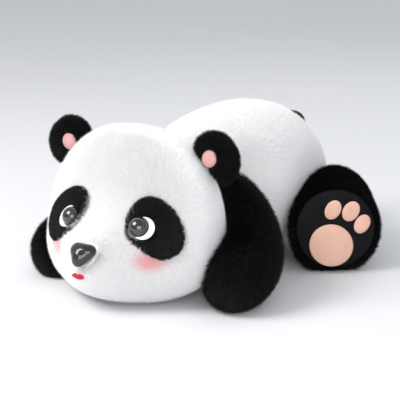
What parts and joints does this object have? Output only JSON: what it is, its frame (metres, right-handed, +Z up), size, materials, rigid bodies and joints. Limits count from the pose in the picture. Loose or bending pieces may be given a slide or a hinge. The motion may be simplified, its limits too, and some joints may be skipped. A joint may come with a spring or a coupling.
{
  "type": "plush panda",
  "caption": "Stuffed plush panda that lies on its belly with arms beside the head and soles showing; head, arms, legs, ears and tail flex at their seams.",
  "frame": {"origin": "middle of the bounding box, on the plane the toy lies on", "axes": "+Z up; the face looks along -Y; +X is the panda's left"},
  "size_m": [0.3668, 0.4546, 0.176],
  "materials": {
    "white_plush": "long white pile",
    "black_plush": "long black pile",
    "stuffing": "polyester fibre",
    "washer_plastic": "matt",
    "eye_plastic": "polished",
    "white_felt": "felt",
    "red_embroidery": "satin stitch",
    "pink_plush": "short pile",
    "salmon_satin": "smooth",
    "black_satin": "smooth, a little shiny"
  },
  "bodies": {
    "torso": {"torso_left_panel": "white_plush", "torso_right_panel": "white_plush", "belly_panel": "white_plush", "torso_stuffing": "stuffing"},
    "head": {"head_left_panel": "white_plush", "head_gusset": "white_plush", "head_right_panel": "white_plush", "head_stuffing": "stuffing", "eye_patch_left": "black_plush", "eye_felt_left": "white_felt", "eye_left": "eye_plastic", "eye_washer_left": "washer_plastic", "eye_patch_right": "black_plush", "eye_felt_right": "white_felt", "eye_right": "eye_plastic", "eye_washer_right": "washer_plastic", "nose": "eye_plastic", "nose_washer": "washer_plastic", "mouth": "red_embroidery"},
    "tail": {"tail_upper_panel": "black_plush", "tail_lower_panel": "black_plush", "tail_stuffing": "stuffing"},
    "arm_left": {"arm_outer_panel_left": "black_plush", "arm_inner_panel_left": "black_plush", "arm_stuffing_left": "stuffing"},
    "ear_left": {"ear_front_left": "black_plush", "ear_back_left": "black_plush", "ear_lining_left": "pink_plush", "ear_stuffing_left": "stuffing"},
    "leg_left": {"leg_outer_panel_left": "black_plush", "leg_inner_panel_left": "black_plush", "leg_stuffing_left": "stuffing", "sole_left": "black_satin", "main_pad_left": "salmon_satin", "front_toe_pad_left": "salmon_satin", "middle_toe_pad_left": "salmon_satin", "rear_toe_pad_left": "salmon_satin"},
    "arm_right": {"arm_outer_panel_right": "black_plush", "arm_inner_panel_right": "black_plush", "arm_stuffing_right": "stuffing"},
    "ear_right": {"ear_front_right": "black_plush", "ear_back_right": "black_plush", "ear_lining_right": "pink_plush", "ear_stuffing_right": "stuffing"},
    "leg_right": {"leg_outer_panel_right": "black_plush", "leg_inner_panel_right": "black_plush", "leg_stuffing_right": "stuffing", "sole_right": "black_satin", "main_pad_right": "salmon_satin", "front_toe_pad_right": "salmon_satin", "middle_toe_pad_right": "salmon_satin", "rear_toe_pad_right": "salmon_satin"}
  },
  "joints": [
    {"name": "neck_nod", "type": "hinge", "parent": "torso", "child": "head", "pos_m": [0, -0.0798, 0.124], "axis": [-1, 0, 0], "range_deg": [0, 10], "stiffness_Nm_per_rad": 0.4},
    {"name": "shoulder_left", "type": "hinge", "parent": "torso", "child": "arm_left", "pos_m": [0.08518, -0.04255, 0.05897], "axis": [-0.4524, 0.1655, 0.8763], "range_deg": [0, 14], "stiffness_Nm_per_rad": 0.15},
    {"name": "shoulder_right", "type": "hinge", "parent": "torso", "child": "arm_right", "pos_m": [-0.09087, -0.03129, 0.05629], "axis": [-0.4524, -0.1655, -0.8763], "range_deg": [0, 14], "stiffness_Nm_per_rad": 0.15},
    {"name": "hip_left", "type": "hinge", "parent": "torso", "child": "leg_left", "pos_m": [0.0818, 0.17032, 0.04774], "axis": [-0.0995, -0.0121, 0.995], "range_deg": [0, 18], "stiffness_Nm_per_rad": 0.2},
    {"name": "hip_right", "type": "hinge", "parent": "torso", "child": "leg_right", "pos_m": [-0.0818, 0.17032, 0.04774], "axis": [-0.0995, 0.0121, -0.995], "range_deg": [0, 18], "stiffness_Nm_per_rad": 0.2},
    {"name": "ear_flex_left", "type": "hinge", "parent": "head", "child": "ear_left", "pos_m": [0.08088, -0.11293, 0.13888], "axis": [0.7065, -0.04, -0.7065], "range_deg": [-8, 8], "stiffness_Nm_per_rad": 0.03},
    {"name": "ear_flex_right", "type": "hinge", "parent": "head", "child": "ear_right", "pos_m": [-0.08088, -0.11293, 0.13888], "axis": [0.7065, 0.04, 0.7065], "range_deg": [-8, 8], "stiffness_Nm_per_rad": 0.03},
    {"name": "tail_flex", "type": "hinge", "parent": "torso", "child": "tail", "pos_m": [0, 0.20426, 0.12225], "axis": [-1, 0, 0], "range_deg": [-10, 10], "stiffness_Nm_per_rad": 0.03}
  ]
}
